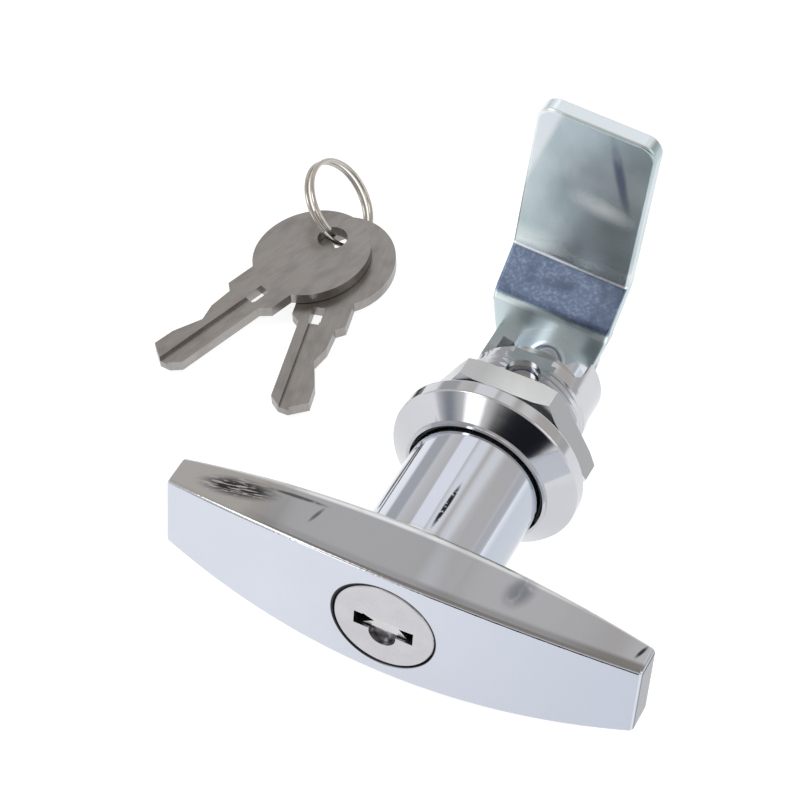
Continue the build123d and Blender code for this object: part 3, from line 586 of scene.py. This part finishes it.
# A painted highlight along the rear edge of the bar's top
rear_highlight = all_of(
    handle_chrome,
    bar_side,
    bar_only,
    along(handle_chrome, "Y", -26.5, -26.1),
    flecks(handle_chrome, (6, 4, 4), 0.1, 0.45),
)
stain(handle_chrome, rear_highlight, (0.68, 0.69, 0.7), 0.1)
smudge = all_of(
    handle_chrome,
    bar_side,
    spot(handle_chrome, (16.5, -28.4, 8.5), (2.5, 4.2, 4), turn=(0, 0, -12), soft=0.7),
    flecks(handle_chrome, (1.6, 2.2, 2), 0.25, 0.5),
)
stain(handle_chrome, smudge, (0.21, 0.22, 0.245), 0.15)
scored = all_of(
    handle_chrome,
    spot(handle_chrome, (1.4, -19.5, 10), (0.42, 5.4, 1.2), turn=(0, 0, -1.6), soft=0.5),
    flecks(handle_chrome, (0.7, 0.5, 0.7), 0.32, 0.44),
)
stain(handle_chrome, scored, (0.03, 0.03, 0.033), 0.3)
# Dirt and painted shade in the joint round the plug
bore_dirt_and_shade = joined(
    handle_chrome,
    "MULTIPLY",
    from_axis(handle_chrome, 8.09, 7.99, centre=(-0.1, 0.08)),
    along(handle_chrome, "Y", -20, -21),
)
stain(handle_chrome, bore_dirt_and_shade, (0.03, 0.032, 0.036), 0.5)
dress("t_handle", handle_chrome)

# Shaft seal: a moulded rubber ring in a groove of the shaft, behind the lip of the
# collar. It turns with the shaft and keeps water out of the tail.
seal_middle = (9.62, -4.3)
seal_thickness = 1.6
seal_section = [
    (seal_middle[0] + seal_thickness / 2 * x, seal_middle[1] + seal_thickness / 2 * y)
    for x, y in (
        (1, 0),
        (0.81, 0.59),
        (0.31, 0.95),
        (-0.31, 0.95),
        (-0.81, 0.59),
        (-1, 0),
        (-0.81, -0.59),
        (-0.31, -0.95),
        (0.31, -0.95),
        (0.81, -0.59),
    )
]
seal = spun_ring("rubber_seal", seal_section)
seal.data.materials.append(rubber("seal_black", 0.06))
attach(seal, "handle")
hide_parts("shaft_seal")

# Lock plug and its shutter: turned and satin nickel plated, with a fine even grain.
# The plug's rim and the inside of its keyway are dark with old grease and painted shade.
plug_nickel = plated_metal("plug_nickel", (0.54, 0.535, 0.56), 0.26, 0.4 * mm, 0.002 * mm)
# Grease and painted shade in the keyway's mouth
scoop_grime_and_shade = all_of(
    plug_nickel,
    along(plug_nickel, "Y", -35.33, -35.2),
    flecks(plug_nickel, (1.1, 1.1, 0.8), 0.3, 0.6),
)
stain(plug_nickel, scoop_grime_and_shade, (0.14, 0.135, 0.145), 0.35)
# Grease and painted shade round the plug's rim and deep in the keyway
grease_and_shade = joined(
    plug_nickel,
    "MAXIMUM",
    from_axis(plug_nickel, 7.56, 7.63, centre=(0.04, -0.03)),
    all_of(
        plug_nickel,
        along(plug_nickel, "Y", -34.38, -34.2),
        flecks(plug_nickel, (1.3, 2, 1.0), 0.25, 0.5),
    ),
)
stain(plug_nickel, grease_and_shade, (0.03, 0.03, 0.033), 0.45)
dress("lock_plug", plug_nickel)
shutter_steel = plated_metal("shutter_steel", (0.6, 0.595, 0.61), 0.25, 0.4 * mm, 0.002 * mm)
dress("keyway_shutter", shutter_steel)

# Wafers and retainer: stamped brass plates, tarnished a little. The wafers slide across
# the plug, and the retainer snaps into a groove of the handle's bore and holds the plug.
wafer_brass = plated_metal("wafer_brass", (0.62, 0.5, 0.28), 0.25, 0.6 * mm, 0.003 * mm)
for number in range(1, 7):
    dress(f"wafer_{number}", wafer_brass)
dress("plug_retainer", wafer_brass)

# Springs, spindle, bolt, circlip and spring washer: plain steel, oiled. They are turned,
# wound or stamped, and lie inside the shaft or behind the cam.
inner_steel = plated_metal("inner_steel", (0.5, 0.5, 0.5), 0.2, 1.0 * mm, 0.003 * mm)
for node in ("wafer_springs", "drive_spindle", "locking_bolt", "shaft_circlip", "spring_washer"):
    dress(node, inner_steel)

# Stop plate, washer and screw: stamped and rolled steel, bright zinc plated. They sit on
# the shaft's square end, and the screw clamps them and the cam.
bright_zinc = plated_metal("bright_zinc", (0.66, 0.68, 0.71), 0.22, 0.8 * mm, 0.004 * mm)
# Their faces towards the handle are painted lighter, a painted highlight, and are rougher
stain(bright_zinc, facing(bright_zinc, (0, -1, 0), 0.8, 0.95), (0.95, 0.98, 1.0), 0.5)
for node in ("stop_plate", "flat_washer", "cam_screw"):
    dress(node, bright_zinc)

# Cam: stamped and twice bent steel, blue zinc plated, with a tone that varies at random.
# Its flats carry painted reflections: pale patches, a dark streak and bright patches. The
# slope between the two bends is painted dark and speckled as a painted dark reflection, and
# the bends and upward faces carry painted highlights. It is set on the square end.
cam_zinc = plated_metal("cam_zinc", (0.54, 0.615, 0.65), 0.24, 1.2 * mm, 0.006 * mm)


def toward(metal, direction, clean, dirty):
    """A value from 0 at one distance along a direction to 1 at another, in mm."""
    tree = metal.node_tree
    place = tree.nodes.new("ShaderNodeTexCoord")
    reach = tree.nodes.new("ShaderNodeVectorMath")
    reach.operation = "DOT_PRODUCT"
    reach.inputs[1].default_value = Vector(direction).normalized()
    value = tree.nodes.new("ShaderNodeMapRange")
    value.interpolation_type = "SMOOTHSTEP"
    value.inputs["From Min"].default_value = clean * mm
    value.inputs["From Max"].default_value = dirty * mm
    tree.links.new(place.outputs["Object"], reach.inputs[0])
    tree.links.new(reach.outputs["Value"], value.inputs["Value"])
    return value.outputs["Result"]


strap_up = (0.056, 0, 0.998)
cam_face = facing(cam_zinc, (0, -1, 0), 0.4, 0.6)
stain(cam_zinc, flecks(cam_zinc, (7, 7, 10), 0.35, 0.65), (0.41, 0.5, 0.52), 0.24)
# Painted reflections on the upper flat: a pale upper left corner and a pale, flecked foot
upper_flat = toward(cam_zinc, strap_up, 15.6, 17)
pale_corner = all_of(cam_zinc, upper_flat, toward(cam_zinc, (-0.956, 0, 0.293), 16.4, 17.6))
stain(cam_zinc, pale_corner, (0.74, 0.79, 0.82), 0.3)
pale_foot = all_of(
    cam_zinc,
    upper_flat,
    toward(cam_zinc, strap_up, 21, 16),
    flecks(cam_zinc, (6, 6, 2), 0.25, 0.6),
)
stain(cam_zinc, pale_foot, (0.74, 0.8, 0.8), 0.3)
# A painted dark reflection as a streak across the upper flat, and a painted bright reflection
# below it
dark_reflection_streak = all_of(
    cam_zinc,
    spot(cam_zinc, (5.2, 24.6, 35.4), (1.2, 4, 9.6), turn=(0, -15, 0), soft=0.6),
    flecks(cam_zinc, (1.2, 3, 3.6), 0.2, 0.5),
)
stain(cam_zinc, dark_reflection_streak, (0.2, 0.24, 0.33), 0.25)
bright_reflection = all_of(
    cam_zinc,
    spot(cam_zinc, (3.2, 24.6, 28.6), (7.2, 4, 2.9), turn=(0, 12, 0), soft=0.95),
    flecks(cam_zinc, (4, 3, 3), 0.1, 0.4),
)
stain(cam_zinc, bright_reflection, (0.96, 1.0, 1.0), 0.4)
# A painted bright reflection on the lower flat, whose face is also lighter
low_reflection = spot(cam_zinc, (-1.8, 19.6, 4.2), (3.6, 4, 2.4), soft=0.7)
low_flat = all_of(cam_zinc, cam_face, toward(cam_zinc, strap_up, 9.7, 9.0))
stain(cam_zinc, low_flat, (0.62, 0.72, 0.74), 0.38)
stain(cam_zinc, low_reflection, (0.95, 1.0, 1.0), 0.2)
# The slope is painted dark as a painted dark reflection, with lighter speckles and darker
# patches
slope = all_of(
    cam_zinc,
    cam_face,
    toward(cam_zinc, strap_up, 9.6, 10.1),
    toward(cam_zinc, strap_up, 15.7, 15.3),
)
stain(cam_zinc, slope, (0.175, 0.235, 0.37), 0.3)
# A painted highlight along the lower bend
low_edge = all_of(
    cam_zinc,
    cam_face,
    toward(cam_zinc, strap_up, 8.3, 8.7),
    toward(cam_zinc, strap_up, 9.7, 9.4),
    flecks(cam_zinc, (3, 3, 2), 0.25, 0.5),
)
stain(cam_zinc, low_edge, (0.84, 0.93, 0.93), 0.35)
slope_speckle = all_of(cam_zinc, slope, flecks(cam_zinc, (0.5, 0.5, 0.4), 0.45, 0.75, detail=6))
stain(cam_zinc, slope_speckle, (0.34, 0.41, 0.54), 0.3)
slope_patch = all_of(cam_zinc, slope, flecks(cam_zinc, (3.5, 3, 3), 0.45, 0.65))
stain(cam_zinc, slope_patch, (0.13, 0.17, 0.26), 0.3)
# A painted highlight along the upper bend, and lighter upward faces as painted highlights
bend_line = all_of(
    cam_zinc,
    cam_face,
    toward(cam_zinc, strap_up, 15.45, 15.6),
    toward(cam_zinc, strap_up, 16.0, 15.75),
)
stain(cam_zinc, bend_line, (1.0, 1.0, 1.0), 0.3)
stain(cam_zinc, facing(cam_zinc, (0, 0, 1), 0.8, 0.95), (0.84, 0.93, 1.0), 0.25)
dress("cam", cam_zinc)

# Keys: stamped and milled brass, nickel plated, and rubbed along their length. They lie
# loose on the table, one partly on the other.
for node, shade, angle in (
    ("key_1", (0.31, 0.295, 0.285), -111.0),
    ("key_2", (0.3, 0.285, 0.274), -78.5),
):
    key_nickel = plated_metal(f"{node}_nickel", shade, 0.3, 0.7 * mm, 0.003 * mm)
    rubbed = flecks(key_nickel, (5, 0.12, 3), 0.3, 0.9, turn=(0, 0, angle), detail=4)
    stain(key_nickel, rubbed, [c * 1.3 for c in shade], 0.34)
    worn = flecks(key_nickel, (4, 2, 4), 0.45, 0.8, turn=(0, 0, angle))
    stain(key_nickel, worn, [c * 0.8 for c in shade], 0.3)
    dress(node, key_nickel)

# Split ring: nickel plated spring wire wound in not quite two turns, with its two ends
# cut square. It leans over the keys that hang on it.
ring_nickel = plated_metal("ring_nickel", (0.5, 0.475, 0.44), 0.15, 1.0 * mm, 0.002 * mm)
wire_radius = 0.375 * mm
ring_radius = 7.1 * mm
ring_pitch = 1.2 * mm
ring_turns = 1.8
ring_start = radians(249.0)
ring_lean = radians(47.2)
ring_facing = radians(100.2)
ring_middle = Vector((-45.84, 43.66, -14.5)) * mm
wire_end_bevel = 0.1 * mm
wire = bmesh.new()
bmesh.ops.create_circle(wire, cap_ends=False, radius=wire_radius, segments=20)
bmesh.ops.rotate(wire, verts=wire.verts, matrix=Matrix.Rotation(radians(90), 3, "X"))
bmesh.ops.translate(wire, verts=wire.verts, vec=(ring_radius, 0, -ring_pitch * ring_turns / 2))
bmesh.ops.rotate(wire, verts=wire.verts, matrix=Matrix.Rotation(ring_start, 3, "Z"))
ring_steps = 216
bmesh.ops.spin(
    wire,
    geom=wire.verts[:] + wire.edges[:],
    cent=(0, 0, 0),
    axis=(0, 0, 1),
    dvec=(0, 0, ring_pitch * ring_turns / ring_steps),
    angle=radians(360 * ring_turns),
    steps=ring_steps,
    use_merge=False,
)
end_edges = [edge for edge in wire.edges if edge.is_boundary]
bmesh.ops.holes_fill(wire, edges=end_edges, sides=0)
bmesh.ops.bevel(
    wire,
    geom=end_edges,
    offset=wire_end_bevel,
    segments=2,
    profile=0.5,
    affect="EDGES",
    material=-1,
)
ring_rise = ring_radius * sin(ring_lean) + ring_pitch * cos(ring_lean) + wire_radius
ring_place = Matrix.Translation(ring_middle + Vector((0, 0, ring_rise)))
ring_stand = Matrix.Rotation(ring_facing, 4, "Z") @ Matrix.Rotation(ring_lean, 4, "X")
bmesh.ops.transform(wire, verts=wire.verts, matrix=ring_place @ ring_stand)
bmesh.ops.recalc_face_normals(wire, faces=wire.faces)
for face in wire.faces:
    face.smooth = len(face.verts) < 5
ring_mesh = bpy.data.meshes.new("split_ring")
wire.to_mesh(ring_mesh)
wire.free()
split_ring = bpy.data.objects.new("split_ring", ring_mesh)
bpy.context.scene.collection.objects.link(split_ring)
ring_mesh.materials.append(ring_nickel)
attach(split_ring, "ring")
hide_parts("key_ring")
